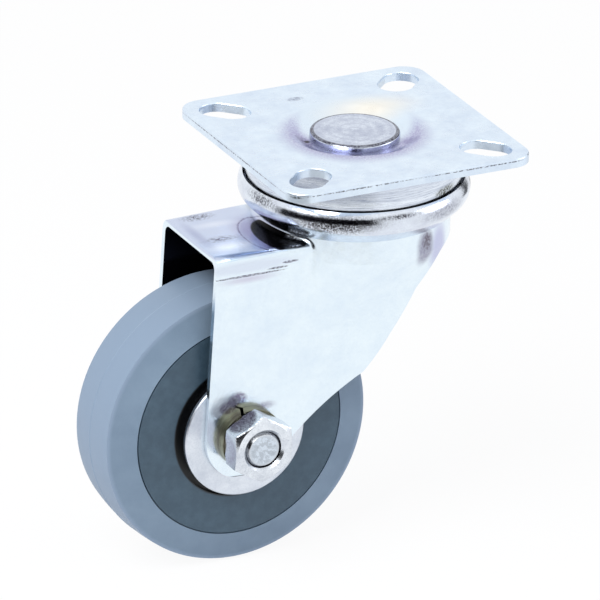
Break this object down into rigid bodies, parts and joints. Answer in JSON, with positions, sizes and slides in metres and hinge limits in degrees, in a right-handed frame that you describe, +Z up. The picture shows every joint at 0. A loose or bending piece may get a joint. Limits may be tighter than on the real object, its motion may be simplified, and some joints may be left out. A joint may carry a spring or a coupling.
{
  "type": "swivel castor",
  "caption": "Swivel castor: square plate with corner slots, ball race swivel head, pressed steel fork and a rubber tyred wheel on ball bearings.",
  "frame": {"origin": "centre of the top plate's upper face, on the swivel axis", "axes": "+Z up out of the mounting face, +X forward so that the wheel trails towards -X, Y along the wheel's axle with the nut at -Y"},
  "size_m": [0.11, 0.0698, 0.111],
  "materials": {
    "plate_zinc": "bright zinc plating on pressed sheet",
    "pin_zinc": "bright zinc plating on a turned rivet",
    "race_zinc": "bright zinc plating on a formed ring",
    "collar_zinc": "glossy zinc plating on rolled sheet",
    "fork_zinc": "glossy zinc plating on pressed sheet",
    "disc_zinc": "bright zinc plating on a stamped disc",
    "fastener_zinc": "bright zinc plating on cold headed steel",
    "washer_zinc": "dull zinc plating on spring steel",
    "bearing_steel": "ground and polished",
    "cage_steel": "pressed, satin",
    "tyre_rubber": "grey, smooth, matte",
    "hub_plastic": "dark slate grey, fine satin"
  },
  "bodies": {
    "plate": {"top_plate": "plate_zinc", "king_pin": "pin_zinc", "upper_race": "race_zinc", "lower_race": "bearing_steel"},
    "fork": {"fork": "fork_zinc", "rolled_collar": "collar_zinc", "axle_bolt": "fastener_zinc", "axle_nut": "fastener_zinc", "spring_washer": "washer_zinc", "near_hub_disc": "disc_zinc", "far_hub_disc": "disc_zinc", "near_inner_ring": "bearing_steel", "far_inner_ring": "bearing_steel", "bearing_spacer": "bearing_steel"},
    "wheel": {"tyre": "tyre_rubber", "wheel_hub": "hub_plastic", "near_outer_ring": "bearing_steel", "far_outer_ring": "bearing_steel"},
    "upper_ball_row": {"upper_balls": "bearing_steel"},
    "lower_ball_row": {"lower_balls": "bearing_steel"},
    "near_ball_set": {"near_bearing_balls": "bearing_steel", "near_bearing_cage": "cage_steel"},
    "far_ball_set": {"far_bearing_balls": "bearing_steel", "far_bearing_cage": "cage_steel"}
  },
  "joints": [
    {"name": "swivel", "type": "hinge", "parent": "plate", "child": "fork", "pos_m": [0, 0, 0], "axis": [0, 0, 1], "continuous": true},
    {"name": "wheel_spin", "type": "hinge", "parent": "fork", "child": "wheel", "pos_m": [-0.0375, 0, -0.0734], "axis": [0, 1, 0], "continuous": true},
    {"name": "upper_ball_roll", "type": "hinge", "parent": "plate", "child": "upper_ball_row", "pos_m": [0, 0, -0.0121], "axis": [0, 0, 1], "continuous": true},
    {"name": "lower_ball_roll", "type": "hinge", "parent": "plate", "child": "lower_ball_row", "pos_m": [0, 0, -0.01665], "axis": [0, 0, 1], "continuous": true},
    {"name": "near_ball_orbit", "type": "hinge", "parent": "fork", "child": "near_ball_set", "pos_m": [-0.0375, -0.0061, -0.0734], "axis": [0, 1, 0], "continuous": true},
    {"name": "far_ball_orbit", "type": "hinge", "parent": "fork", "child": "far_ball_set", "pos_m": [-0.0375, 0.0061, -0.0734], "axis": [0, 1, 0], "continuous": true}
  ],
  "couplings": [
    {"joint": "upper_ball_roll", "follows": "swivel", "ratio": 0.5},
    {"joint": "lower_ball_roll", "follows": "swivel", "ratio": 0.5},
    {"joint": "near_ball_orbit", "follows": "wheel_spin", "ratio": 0.6172},
    {"joint": "far_ball_orbit", "follows": "wheel_spin", "ratio": 0.6172}
  ]
}
